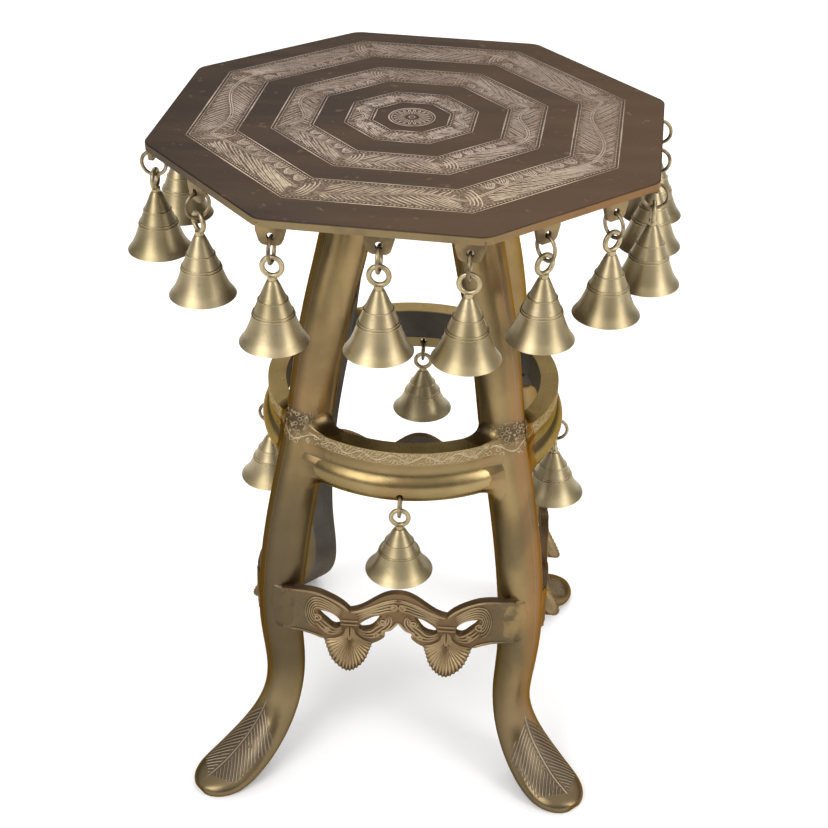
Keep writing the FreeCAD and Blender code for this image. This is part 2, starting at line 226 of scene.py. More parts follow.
# Engraving on the top: three octagonal bands of leafy scroll between double border lines, and a
# round of petals in the middle, cut by hand with a graver that leaves bright lines in the patina.
ROSETTE_RADIUS = 0.0143
ROSETTE_RINGS = ((1.0, 0.0010), (0.88, 0.0007), (0.13, 0.0008))
PETALS, PETAL_HALF_ANGLE, PETAL_LINE = 20, 0.105, 0.00075
PETAL_FROM, PETAL_LENGTH = 0.20, 0.60
LINE_LIFT, LINE_STEP = 0.00003, 0.000001
LINE_ENDS = 0.25
BORDER_LINE, DASH_LINE, STEM_LINE, CUT_LINE = 0.0010, 0.0009, 0.0008, 0.00095
ARCH_LINE, ARCH_CUT_LINE, CORNER_LINE = 0.0008, 0.0007, 0.0009
DASH_INSET, DASH_STEP = 0.0019, 0.0024
FIELD_INSET, FIELD_FROM, FIELD_LENGTH = 0.0029, 0.17, 0.80
STEM_GAP, STEM_WAVE, STEM_DIP = 0.0007, 0.44, 0.17
# Tip, lean, part of the way and gap in spacings of each field of cuts on a side.
ROWS = tuple((1.0, 3.4, (low, low + 0.34), 2.0) for low in (0.10, 0.38, 0.66))
LEAVES = ((1.0, 1.25, (0.13, 1.0), 1.35), (-1.0, 1.0, (0.13, 1.0), 1.35))
ROW_OFFSET, GAP_SHAKE, TIP_MEAN, TIP_SHAKE, CUT_BOW, CUT_LEAST = 4.2, 0.16, 0.93, 0.06, 0.22, 0.3
ARCH_HALF, ARCH_PITCH, ARCH_TALL, ARCH_OVALS = 0.40, 2.15, 1.45, (1.0, 0.80)
ARCH_CUTS, ARCH_CUT_LEAN = ((-0.25, 0.95), (0.12, 1.10), (0.50, 0.85)), 0.35
CORNER_OVALS, CORNER_TALL, CORNER_SHORTER = 4, 0.94, 0.17
CORNER_CLEAR, CORNER_GAP, CORNER_BULGE = 0.0012, 0.0017, 0.30
OCTAGON_SIDE = 2.0 * math.tan(math.pi / 8.0)
CUT_DARK, CUT_PALE = (0.185, 0.136, 0.104), (0.410, 0.320, 0.250)
WARM_CUT_DARK, WARM_CUT_PALE = (0.205, 0.150, 0.095), (0.470, 0.370, 0.240)
CUT_PAINTED_SHADE = (0.125, 0.088, 0.064)


def ribbon(points, width):
    """Flat strips on the top. Each row of points is a line; the strip is the line moved to both sides
    of itself by half the width, which narrows as an ellipse to a share of itself at the two ends."""
    way = np.gradient(points, axis=1)
    side = np.stack([-way[..., 1], way[..., 0]], -1)
    side /= np.maximum(np.linalg.norm(side, axis=-1, keepdims=True), 1e-9)
    run = np.linspace(-1.0, 1.0, points.shape[1])
    half = 0.5 * width * (LINE_ENDS + (1.0 - LINE_ENDS) * np.sqrt(1.0 - 0.98 * run ** 2))
    edge = side * half[None, :, None]
    strip = np.stack([points - edge, points + edge], 2)
    lines, steps = points.shape[:2]
    first = np.arange(lines * steps * 2).reshape(lines, steps, 2)
    faces = np.stack([first[:, 1:, 0], first[:, 1:, 1], first[:, :-1, 1], first[:, :-1, 0]], -1)
    return strip.reshape(-1, 2), faces.reshape(-1, 4)


def round_octagon(along, apothem):
    """Points of an octagon at given distances along its sides and given apothems. A side number
    and a place on that side come from along; the place widens with the apothem to keep the mitre."""
    side = np.floor(along * 8.0)
    place = (along * 8.0 - side - 0.5) * OCTAGON_SIDE * apothem
    angle = -math.pi / 2.0 + side * math.pi / 4.0
    x = apothem * np.cos(angle) - place * np.sin(angle)
    y = apothem * np.sin(angle) + place * np.cos(angle)
    return np.stack([x, y], -1)


def border_lines(outer, inner):
    """Double lines along both edges of a band. The inner line of each pair is cut into dashes, which
    take two thirds of equal steps along it."""
    lines = []
    hair = 1e-6
    for side in range(8):
        step = np.linspace(side / 8.0 + hair, (side + 1) / 8.0 - hair, 3)
        for apothem in (outer, inner):
            lines.append((round_octagon(step, apothem)[None], BORDER_LINE))
    dash = np.linspace(0.17, 0.83, 3)
    for apothem in (outer - DASH_INSET, inner + DASH_INSET):
        count = 8 * int(OCTAGON_SIDE * apothem / DASH_STEP)
        start = np.arange(count)[:, None]
        lines.append((round_octagon((start + dash[None]) / count, apothem), DASH_LINE))
    return lines


def stem_line(along, reach):
    """Height of the stem over the middle of a band: one full wave on every other side, and on the
    sides between a single dip towards the inner border."""
    odd = np.floor(along * 8.0) % 2.0
    wave = (1.0 - odd) * STEM_WAVE * np.sin(16.0 * math.pi * along)
    return reach * (wave - odd * STEM_DIP * (1.0 - np.cos(16.0 * math.pi * along)))


def hatch(side, length, spacing, reach, tip, lean, part):
    """Parallel cuts on one side of a band, over a part of the way from its stem to a tip height. Each
    leans forward by a share of its own height, bows by a parabola and is cut off at both ends of the
    side. Spacing and height wander by sines of the place, as a hand does."""
    start = np.arange(-1.5 * lean * reach, length, spacing)
    start = start + spacing * (ROW_OFFSET * part[0] + GAP_SHAKE * np.sin(start * 900.0 + side))
    foot = stem_line((side + np.clip(start / length, 0.01, 0.99)) / 8.0, reach)
    far = tip * reach * (TIP_MEAN + TIP_SHAKE * np.sin(start * 700.0 + side))
    run = np.abs(far - foot) * lean
    first = np.maximum((FIELD_FROM * length - start) / run, part[0])
    last = np.minimum(((FIELD_FROM + FIELD_LENGTH) * length - start) / run, part[1])
    keep = last - first > CUT_LEAST * (part[1] - part[0])
    share = np.linspace(0.0, 1.0, 6)[None, :]
    cut = (first[:, None] + (last - first)[:, None] * share)[keep]
    along = start[keep][:, None] + run[keep][:, None] * (cut - CUT_BOW * cut * (1.0 - cut))
    return (side + along / length) / 8.0, foot[keep][:, None] + (far - foot)[keep][:, None] * cut


def band_lines(outer, inner, spacing):
    """Lines of one band, each as (points, width). A double stem runs round it. Cuts lean from the
    stem to the borders. On every other side those of the outer half lie nearly along the band in
    three rows, and the inner half holds a row of hatched arches, each of two half ovals and three
    slanting cuts. Each corner holds four nested half ovals."""
    middle, half = (outer + inner) / 2.0, (outer - inner) / 2.0
    length = OCTAGON_SIDE * middle
    lines = border_lines(outer, inner)
    reach = half - FIELD_INSET
    stem = np.linspace(0.0, 0.999999, 641)
    for shift in (-STEM_GAP, STEM_GAP):
        lines.append((round_octagon(stem, middle + stem_line(stem, reach) + shift)[None], STEM_LINE))
    for side in range(8):
        for tip, lean, part, gap in (ROWS if side % 2 else LEAVES):
            along, across = hatch(side, length, spacing * gap, reach, tip, lean, part)
            lines.append((round_octagon(along, middle + across), CUT_LINE))
    size = ARCH_HALF * reach
    places = int(FIELD_LENGTH * length / (size * ARCH_PITCH))
    share = (np.tile(np.arange(places), 4) + 0.5) / places
    arch = (np.repeat(np.arange(1, 8, 2), places) + FIELD_FROM + FIELD_LENGTH * share)[:, None]
    turn = np.linspace(0.0, math.pi, 13)[None, :]
    for share in ARCH_OVALS:
        along = arch + size * share * np.cos(turn) / length
        across = -reach + size * share * ARCH_TALL * np.sin(turn) + 0.0 * arch
        lines.append((round_octagon(along / 8.0, middle + across), ARCH_LINE))
    cut = np.linspace(0.0, 1.0, 5)[None, :]
    for place, tall in ARCH_CUTS:
        along = arch + size * (place - ARCH_CUT_LEAN * cut) / length
        across = -reach + size * tall * cut + 0.0 * arch
        lines.append((round_octagon(along / 8.0, middle + across), ARCH_CUT_LINE))
    turn = np.linspace(-math.pi / 2.0, math.pi / 2.0, 17)[None, :]
    corner = np.arange(8)[:, None] + 0.0 * turn
    for number in range(CORNER_OVALS):
        tall = reach * (CORNER_TALL - CORNER_SHORTER * number)
        across = tall * np.sin(turn) + 0.0 * corner
        clear = CORNER_CLEAR + CORNER_GAP * (CORNER_OVALS - 1 - number)
        along = corner + (clear + CORNER_BULGE * tall * np.cos(turn)) / length
        lines.append((round_octagon(along / 8.0, middle + across), CORNER_LINE))
    return lines


def rosette_lines(radius):
    """Rings at shares of the radius and, between them, looped petals: each spreads evenly to both
    sides of its own angle while its reach goes out and back as a half ellipse."""
    turn = np.linspace(0.0, 2.0 * math.pi, 73)
    ring = np.stack([np.cos(turn), np.sin(turn)], -1)[None]
    lines = [(ring * radius * share, width) for share, width in ROSETTE_RINGS]
    step = np.linspace(-1.0, 1.0, 13)
    petal = np.arange(PETALS) * 2.0 * math.pi / PETALS
    far = radius * (PETAL_FROM + PETAL_LENGTH * np.sqrt(1.0 - 0.96 * step ** 2))
    angle = petal[:, None] + step[None, :] * PETAL_HALF_ANGLE
    lines.append((np.stack([far * np.cos(angle), far * np.sin(angle)], -1), PETAL_LINE))
    return lines


def turned(points, angle, middle):
    """Points turned by an angle about an upright line through the origin, then moved to a middle."""
    x = points[..., 0] * math.cos(angle) - points[..., 1] * math.sin(angle) + middle[0]
    y = points[..., 0] * math.sin(angle) + points[..., 1] * math.cos(angle) + middle[1]
    return np.stack([x, y, points[..., 2]], -1)


def add_piece(name, points, faces):
    """A new object at the origin whose mesh has these points and faces."""
    mesh = bpy.data.meshes.new(name)
    mesh.from_pydata(points.tolist(), [], faces.tolist())
    piece = bpy.data.objects.new(name, mesh)
    bpy.context.scene.collection.objects.link(piece)
    return piece


def lay_flat(lines, height):
    """Points and faces of all the strips at a height, each set of lines a hair above the last so that
    crossing strips don't share a plane."""
    points, faces, count = [], [], 0
    for number, (line, width) in enumerate(lines):
        strip, quads = ribbon(line, width)
        points.append(np.concatenate([strip, np.full((len(strip), 1), height + number * LINE_STEP)], -1))
        faces.append(quads + count)
        count += len(strip)
    return np.concatenate(points), np.concatenate(faces)


engraved_lines = rosette_lines(ROSETTE_RADIUS)
for outer, inner, spacing in BANDS:
    engraved_lines += band_lines(outer, inner, spacing)
flat, quads = lay_flat(engraved_lines, TOP_HEIGHT + LINE_LIFT)
engraving = add_piece("top_engraving", turned(flat, TOP_TURN, ENGRAVING_SHIFT), quads)
# The cuts: bright brass, warmer towards the front, with painted shade that darkens them towards the back
# and the right.
graver = Finish("graver_cut", 0.5, 0.45)
worn = graver.noise(45.0, 3.0)
bright = (graver.noise(260.0, 2.0) * 0.6 + worn * 0.6).rise(0.35, 0.75)
cool_cut = bright.colour(CUT_DARK, CUT_PALE)
warm_cut = bright.colour(WARM_CUT_DARK, WARM_CUT_PALE)
cut_tint = graver.y.fall(-0.125, -0.02).colour(cool_cut, warm_cut)
# Painted shade: the cuts darken towards the back and the right.
away = (graver.y + graver.x * 0.6).rise(-0.09, 0.09)
graver.set("Base Color", (away * 0.42).colour(cut_tint, CUT_PAINTED_SHADE))
graver.set("Roughness", 0.32 + worn * 0.25)
graver.bump(worn, 0.0001)
engraving.data.materials.append(graver.material)
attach(engraving, "stand")


# Lugs: small cast tongues brazed in a row under the edge of the plate, one for each bell, with a
# drilled hole. They are toned like the plate and rubbed on their edges.
LUG_DARK, LUG_RUBBED = (0.120, 0.085, 0.046), (0.270, 0.195, 0.098)

lugs = Finish("lug_brass", 1.0, 0.4)
cloud = lugs.noise(60.0, 3.0)
grit = lugs.noise(380.0, 4.0)
lugs.set("Base Color", cloud.rise(0.35, 0.65).colour(LUG_DARK, LUG_RUBBED))
lugs.set("Roughness", 0.36 + grit * 0.25)
lugs.bump(grit * 0.6 + cloud * 0.4, 0.0002)
lugs.wear("top_lugs")


# Legs: four sand-cast brass bars, filed and buffed on the rounded face and left rough and grey behind.
# A feather leaf is cut into each foot. Where the hoop meets them they carry a patch of punched curls
# and, under it, the cut vine of the hoop.
LEG_AXIS = (0.0034, -0.0008)
FOOT_BEND_FROM = 0.0855
# How far a foot is bent out, as the mean and what east, north and both add, and aside.
FOOT_OUT = (-0.0036, -0.0041, -0.00415, 0.00175)
FOOT_ASIDE = (0.0007, 0.0035)
SHANK_FROM, SHANK_TO = (0.05, 0.10), (0.20, 0.26)
PATCH_LEVEL, PATCH_WANDER, SOLDER_LEVEL = 0.2795, 0.014, 0.141
VINE_STRIP, VINE_LEVEL, VINE_SWING, VINE_WAVES = 0.2694, 0.2698, 0.0022, 300.0
VINE_STROKE, CURL_STROKE = (0.0003, 0.0009), (0.03, 0.12)
LEAF_REACH, LEAF_TOP, LEAF_FROM, LEAF_TO = 0.118, 0.075, 0.020, 0.083
LEAF_HALF, VEIN_SLANT, VEIN_STEP = 0.0185, 0.85, 0.0034
LEG_GRAZE = (0.50, 0.38, 0.24)
LEG_DARK, LEG_PALE = (0.165, 0.117, 0.054), (0.290, 0.206, 0.094)
LEG_COPPER_REFLECTION, LEG_RUST = (0.250, 0.130, 0.058), (0.215, 0.118, 0.056)
LEG_SHADE, LEG_STAIN, LEG_SIDES_PAINTED_SHADE = (0.064, 0.049, 0.029), (0.110, 0.084, 0.048), (0.095, 0.074, 0.046)
FOOT_WORN, SHANK_DARKER = (0.175, 0.138, 0.085), (0.088, 0.066, 0.041)
BACK_DARK, BACK_PALE = (0.095, 0.085, 0.072), (0.170, 0.152, 0.130)
SOLDER_GREY = (0.130, 0.100, 0.066)
VINE_GROUND, PATCH_GROUND, PATCH_CUT = (0.190, 0.133, 0.072), (0.085, 0.062, 0.038), (0.430, 0.345, 0.220)
LEAF_GROUND, LEAF_CUT = (0.120, 0.090, 0.062), (0.370, 0.300, 0.215)


def leg_places(finish):
    """Reach from the legs' middle, offset from a leg's own plane, and the inward part of the normal,
    the same for all four legs because each is read from its own corner. Below the ankle both follow
    the foot, which is bent a few millimetres more or less on each leg."""
    east = finish.x - LEG_AXIS[0]
    north = finish.y - LEG_AXIS[1]
    east_sign = east.math("SIGN", east)
    north_sign = north.math("SIGN", north)
    bend = (1.0 - finish.z / FOOT_BEND_FROM).most(0.0)
    both = east_sign * north_sign
    out = FOOT_OUT[0] + east_sign * FOOT_OUT[1] + north_sign * FOOT_OUT[2] + both * FOOT_OUT[3]
    reach = (east.size() + north.size()) * math.sqrt(0.5) - bend * out
    aside = FOOT_ASIDE[0] + north_sign * FOOT_ASIDE[1]
    offset = (east.size() - north.size()) * math.sqrt(0.5) + bend * aside
    across = finish.parts(finish.normal)
    inward = (across[0] * east_sign + across[1] * north_sign) * -math.sqrt(0.5)
    return reach, offset, inward


# Buffed brass in two clouded tones: a painted copper reflection where it faces right, painted shade
# where it faces left and on the sides that face inwards, with rust and stains, worn feet, a darker shank
# on the front left leg and a rough grey back.
legs = Finish("leg_brass", 1.0, 0.3, LEG_GRAZE)
reach, offset, inward = leg_places(legs)
cloud = legs.noise(14.0, 4.0)
fine = legs.noise(120.0, 3.0, (1.0, 1.0, 0.25))
brushed = legs.noise(700.0, 2.0, (1.0, 1.0, 0.06))
tone = cloud.rise(0.34, 0.66).colour(LEG_DARK, LEG_PALE)
# Painted reflection: copper where the legs face right, more on the right legs, less at the back and top.
facing = legs.parts(legs.normal)[0] + (cloud - 0.5) * 0.5
copper_reflection = facing.rise(0.10, 0.80) * legs.x.rise(-0.10, 0.08) * (0.75 - legs.z.rise(0.28, 0.34) * 0.30)
copper_reflection = copper_reflection * (1.0 - legs.y.rise(-0.04, 0.03) * 0.65)
tone = copper_reflection.colour(tone, LEG_COPPER_REFLECTION)
# Painted shade where the legs face left.
tone = (facing.fall(-0.85, -0.10) * 0.85).colour(tone, LEG_SHADE)
tone = (legs.noise(26.0, 3.0, (1.0, 1.0, 0.4)).rise(0.52, 0.74) * 0.50).colour(tone, LEG_RUST)
tone = (legs.noise(34.0, 4.0, (1.0, 1.0, 0.5)).fall(0.30, 0.44) * 0.45).colour(tone, LEG_STAIN)
tone = (legs.z.fall(0.02, 0.16) * 0.50).colour(tone, FOOT_WORN)
# A darker shank on the front left leg.
dim = legs.x.fall(-0.09, -0.02) * legs.y.fall(-0.02, 0.02) * legs.z.fall(*SHANK_TO) * legs.z.rise(*SHANK_FROM)
tone = (dim * 0.90).colour(tone, SHANK_DARKER)
# Painted shade on the sides that face inwards.
tone = (inward.rise(0.0, 0.45) * 0.60).colour(tone, LEG_SIDES_PAINTED_SHADE)
rough_back = inward.rise(0.55, 0.80)
tone = rough_back.colour(tone, cloud.rise(0.35, 0.65).colour(BACK_DARK, BACK_PALE))
# Grey solder run along the ends of the aprons.
solder = (legs.z - SOLDER_LEVEL).size().fall(0.014, 0.026) * offset.size().rise(0.0075, 0.0135)
solder = solder * inward.fall(-0.1, 0.5) * legs.noise(90.0, 4.0).rise(0.38, 0.60)
tone = (solder * 0.7).colour(tone, SOLDER_GREY)
# The punched patch, whose edge wanders, and the vine: a stem on a sine, with curls beside it.
edge = legs.noise(130.0, 3.0) * 0.5
rising = legs.z - PATCH_LEVEL - (edge - 0.25) * PATCH_WANDER
punched = rising.size().fall(0.0035, 0.0090) * (offset.size() + edge * 0.010).fall(0.0110, 0.0175)
punched = punched * inward.fall(-0.35, 0.05)
petal = legs.curls(330.0, 0.03, 0.13) * legs.noise(150.0, 2.0).rise(0.28, 0.42)
strip = (legs.z - VINE_STRIP).size().fall(0.0036, 0.0050) * inward.fall(-0.25, 0.05)
stem = (legs.z - VINE_LEVEL - (offset * VINE_WAVES).sin() * VINE_SWING).size().fall(*VINE_STROKE)
vine = strip * stem.most(legs.curls(230.0, *CURL_STROKE) * 0.8)
tone = (strip * 0.30).colour(tone, VINE_GROUND)
tone = (punched * 0.75).colour(tone, PATCH_GROUND)
tone = (punched * petal).most(vine * 0.75).colour(tone, PATCH_CUT)
# The leaf on the foot: a blade that swells from the ankle to the toe, a midrib, and veins that slant
# and curve back from it at even steps.
foot_run = (reach - LEAF_REACH) * 0.75 + (LEAF_TOP - legs.z) * 0.65
blade = LEAF_HALF * ((foot_run - LEAF_FROM) * 38.0).rise(0.05, 1.0) * (foot_run - LEAF_TO).fall(-0.006, 0.003)
in_leaf = (offset.size() / blade.most(0.0001)).fall(0.88, 1.02) * inward.fall(0.0, 0.25)
slant = foot_run - offset.size() * VEIN_SLANT - offset.size() * offset.size() * 14.0
vein = (slant + (legs.noise(50.0, 2.0) - 0.5) * 0.0016).saw(VEIN_STEP).fall(0.0002, 0.0011)
vein = vein * offset.size().rise(0.0010, 0.0022) * legs.noise(120.0, 2.0).rise(0.25, 0.42)
midrib = offset.size().fall(0.0003, 0.0010)
leaf = in_leaf * vein.most(midrib)
tone = (in_leaf * 0.75).colour(tone, LEAF_GROUND)
tone = (leaf * 0.75).colour(tone, LEAF_CUT)
legs.set("Base Color", tone)
legs.set("Roughness", 0.21 + fine * 0.16 + rough_back * 0.40 + solder * 0.35 + punched * 0.2 + cloud * 0.06
         + in_leaf * 0.10)
legs.bump(fine * 0.22 + brushed * 0.10 + leaf * 1.4 + vine * 0.9 + rough_back * legs.noise(300.0, 4.0) * 1.6
          + punched * petal * 1.5 + solder * legs.noise(260.0, 3.0) * 1.5, 0.00035)
legs.wear("leg_front_left", "leg_front_right", "leg_back_right", "leg_back_left")


# Hoop: four cast arcs brazed between the legs, the outside buffed, with a cut vine on the upright
# band, the inside left dark from the sand.
HOOP_RADIUS, HOOP_INNER_RADIUS, HOOP_TOP = 0.098, 0.0875, 0.2746
GROOVE_LOW, GROOVE_HIGH = (0.2535, 0.2575), (0.2630, 0.2660)
BAND_LOW, BAND_HIGH = (0.2650, 0.2657), (0.2738, 0.2745)
HOOP_WAVES, LEAF_STEP = 30.0, 0.0026
HOOP_GRAZE = (0.62, 0.50, 0.32)
HOOP_DARK, HOOP_PALE = (0.215, 0.155, 0.068), (0.355, 0.262, 0.120)
HOOP_RUST, HOOP_GROOVE, HOOP_SHADE = (0.250, 0.142, 0.065), (0.150, 0.108, 0.052), (0.120, 0.090, 0.048)
INSIDE_DARK, INSIDE_PALE = (0.075, 0.066, 0.056), (0.120, 0.105, 0.086)
BAND_GROUND, BAND_CUT = (0.215, 0.150, 0.082), (0.480, 0.390, 0.245)

# Buffed brass with rust, a dark groove over the bulge, shade on the left and a dark inside.
hoop = Finish("hoop_brass", 1.0, 0.28, HOOP_GRAZE)
east, north = hoop.x - LEG_AXIS[0], hoop.y - LEG_AXIS[1]
square = east * east + north * north
radius = square.math("SQRT", square)
round_way = east.math("ARCTAN2", north, east)
cloud = hoop.noise(16.0, 4.0)
fine = hoop.noise(170.0, 3.0)
tone = cloud.rise(0.32, 0.68).colour(HOOP_DARK, HOOP_PALE)
tone = (hoop.noise(35.0, 2.0).rise(0.56, 0.74) * 0.5).colour(tone, HOOP_RUST)
tone = (hoop.z.rise(*GROOVE_LOW) * hoop.z.fall(*GROOVE_HIGH) * 0.45).colour(tone, HOOP_GROOVE)
tone = (hoop.parts(hoop.normal)[0].fall(-0.9, -0.2) * 0.5).colour(tone, HOOP_SHADE)
inner_face = (radius - HOOP_INNER_RADIUS + (HOOP_TOP - 0.0004 - hoop.z) * 0.02).fall(-0.0005, 0.0010)
facing_down = hoop.parts(hoop.normal)[2].fall(-0.9, -0.5)
inside = inner_face.most(facing_down) * hoop.z.fall(HOOP_TOP - 0.0012, HOOP_TOP - 0.0004)
tone = inside.colour(tone, cloud.rise(0.35, 0.65).colour(INSIDE_DARK, INSIDE_PALE))
# The vine on the upright band: a stem on a sine round the hoop, slanting leaves and curls.
on_face = (radius - HOOP_RADIUS).size().fall(0.0008, 0.0014)
band = hoop.z.rise(*BAND_LOW) * hoop.z.fall(*BAND_HIGH) * on_face
over_vine = hoop.z - VINE_LEVEL
stem = (over_vine - (round_way * HOOP_WAVES).sin() * VINE_SWING).size().fall(*VINE_STROKE)
leaves = (round_way * HOOP_RADIUS - over_vine * 0.9).saw(LEAF_STEP).fall(*VINE_STROKE)
leaves = leaves * hoop.noise(260.0, 2.0).rise(0.42, 0.54)
vine = band * stem.most(leaves * 0.8).most(hoop.curls(230.0, *CURL_STROKE) * 0.8)
tone = (band * 0.40).colour(tone, BAND_GROUND)
tone = (vine * 0.70).colour(tone, BAND_CUT)
hoop.set("Base Color", tone)
hoop.set("Roughness", 0.22 + fine * 0.15 + inside * 0.40 + band * 0.14)
hoop.bump(fine * 0.3 + vine * 1.0 + inside * hoop.noise(260.0, 4.0) * 2.0, 0.0003)
hoop.wear("rail_front", "rail_right", "rail_back", "rail_left")


# Aprons: four pierced plates cast in sand with their ribs, scrolls and shells, the ground browned and
# the high places rubbed, with a painted highlight on them. Mounds of solder, filed with the legs, hold
# their ends.
APRON_FACE = 0.0980
APRON_HALF, APRON_TIP, APRON_RISE = 0.078, 0.1025, 0.0583
APRON_FLARE = 0.0120
PATTERN_SIZE = (0.082, 0.0685)
PATTERN_BREAK, PATTERN_WIDER, PATTERN_CLOSER = 0.63, 1.12, 0.7957
PATTERN_FOOT, BEND_FROM, BEND_DROP = 0.092275, 0.45, 0.85
RIM_RIB, SCROLL_RIB, CURL_RIB = (0.0021, 0.0010), (0.0018, 0.0009), (0.0017, 0.0010)
SHELL_FLUTES, SHELL_PROUD = 19, 0.0018
APRON_GRAZE = (0.58, 0.44, 0.28)
GROUND_DARK, GROUND_PALE = (0.130, 0.080, 0.043), (0.210, 0.138, 0.072)
RUBBED_HIGHLIGHT_DARK, RUBBED_HIGHLIGHT_PALE = (0.255, 0.180, 0.095), (0.370, 0.280, 0.158)
APRON_SOLDER = (0.150, 0.118, 0.072)
APRON_BACK_DARK, APRON_BACK_PALE = (0.100, 0.085, 0.068), (0.165, 0.140, 0.110)
# Shares of an apron's rise and of its flare outwards, from the shell tips up.
FLARE_SHARES = (
    (-0.040, 1.200), (0.029, 0.840), (0.094, 0.550), (0.184, 0.257), (0.270, 0.080), (0.350, 0.000),
)
# Lines on one half of the flat pattern, in shares of its width and height: rims, families of scrolls
# as (count, first, last), curls as (across, up, size, sense), and a shell's hub and rim.
RIM_LINES = (
    ((0.374, 0.742), (0.424, 0.815), (0.510, 0.892), (0.634, 0.962), (0.772, 0.981), (0.930, 0.985)),
    ((0.374, 0.742), (0.303, 0.768), (0.220, 0.821), (0.104, 0.899), (0.0, 0.946)),
    ((0.105, 0.466), (0.122, 0.530), (0.066, 0.560), (0.028, 0.615), (0.0, 0.662)),
    ((0.585, 0.400), (0.625, 0.432), (0.700, 0.459), (0.793, 0.485), (0.930, 0.500)),
)
SCROLL_FAMILIES = (
    (5, ((0.420, 0.740), (0.470, 0.800), (0.540, 0.868), (0.620, 0.908), (0.700, 0.875), (0.745, 0.770),
         (0.735, 0.650), (0.690, 0.560), (0.620, 0.520)),
     ((0.448, 0.655), (0.490, 0.715), (0.545, 0.755), (0.610, 0.785), (0.648, 0.775), (0.662, 0.735),
      (0.655, 0.700), (0.640, 0.685), (0.625, 0.700))),
    (4, ((0.335, 0.735), (0.270, 0.772), (0.190, 0.825), (0.110, 0.876), (0.050, 0.905), (0.0, 0.918)),
     ((0.312, 0.655), (0.270, 0.690), (0.215, 0.733), (0.150, 0.755), (0.080, 0.790), (0.0, 0.800))),
    (3, ((0.325, 0.520), (0.262, 0.455), (0.190, 0.450), (0.125, 0.510), (0.058, 0.620), (0.055, 0.700),
         (0.085, 0.735)),
     ((0.318, 0.560), (0.268, 0.515), (0.215, 0.520), (0.165, 0.580), (0.110, 0.640), (0.090, 0.680),
      (0.100, 0.705))),
    (3, ((0.425, 0.520), (0.480, 0.470), (0.540, 0.465), (0.590, 0.520), (0.640, 0.600)),
     ((0.430, 0.565), (0.470, 0.525), (0.505, 0.535), (0.550, 0.580), (0.600, 0.650))),
    (4, ((0.398, 0.560), (0.415, 0.470), (0.470, 0.410), (0.560, 0.385)),
     ((0.386, 0.520), (0.396, 0.440), (0.430, 0.385), (0.480, 0.355))),
    (4, ((0.350, 0.560), (0.333, 0.470), (0.278, 0.405), (0.205, 0.375)),
     ((0.362, 0.520), (0.352, 0.440), (0.318, 0.385), (0.272, 0.355))),
    (2, ((0.300, 0.640), (0.340, 0.636), (0.408, 0.636), (0.450, 0.640)),
     ((0.300, 0.592), (0.340, 0.588), (0.408, 0.588), (0.450, 0.592))),
    (2, ((0.362, 0.570), (0.362, 0.500), (0.366, 0.430), (0.368, 0.390)),
     ((0.386, 0.570), (0.386, 0.500), (0.382, 0.430), (0.380, 0.390))),
)
CURLS = ((0.628, 0.655, 0.045, 1.0), (0.552, 0.520, 0.034, -1.0), (0.120, 0.648, 0.042, -1.0),
         (0.172, 0.480, 0.030, 1.0), (0.035, 0.840, 0.040, 1.0))
SHELL_HUB = (0.374, 0.430)
SHELL_RIM = ((0.572, 0.385), (0.546, 0.268), (0.509, 0.147), (0.445, 0.049), (0.374, 0.000), (0.309, 0.045),
             (0.252, 0.147), (0.221, 0.271), (0.200, 0.367))
# Places along a plate and away from the legs' middle, over its end.
SEAM_LINE = ((0.0690, 0.0975), (0.0705, 0.0980), (0.0735, 0.0984), (0.0770, 0.0984), (0.0800, 0.0978),
             (0.0830, 0.0968), (0.0860, 0.0956), (0.0885, 0.0930))
SEAM_EDGE, SEAM_FOOT, SEAM_MIDDLE, SEAM_HALF = 0.0775, 0.0930, 0.1431, 0.0186


def through(points, steps):
    """Smooth line through points: a cubic between each two, its end slopes half the chord between
    their neighbours."""
    given = np.array(points, float)
    slope = np.gradient(given, axis=0)
    place = np.linspace(0.0, len(given) - 1.0, steps)
    number = np.minimum(place.astype(int), len(given) - 2)
    u = (place - number)[:, None]
    start, end = given[number], given[number + 1]
    return (start * (1.0 + 2.0 * u) + slope[number] * u) * (1.0 - u) ** 2 \
        + (end * (3.0 - 2.0 * u) - slope[number + 1] * (1.0 - u)) * u ** 2


def rib(line, width, proud):
    """Bar along a line on a face. The section is an ellipse, half of it sunk to a third, and its size
    falls to nothing at both ends as the root of one less the sixth power of the run."""
    way = np.gradient(line, axis=0)
    side = np.stack([-way[:, 1], way[:, 0]], -1) / np.linalg.norm(way, axis=1)[:, None]
    swell = np.sqrt(1.0 - np.abs(np.linspace(-1.0, 1.0, len(line))) ** 6)[:, None]
    turn = np.linspace(0.0, 2.0 * math.pi, 11)[None, :]
    out = np.where(np.sin(turn) > 0.0, 1.0, 0.34) * np.sin(turn) * proud * swell
    flat = line[:, None, :] + side[:, None, :] * (np.cos(turn) * 0.5 * width * swell)[..., None]
    return np.concatenate([flat, out[..., None]], -1)


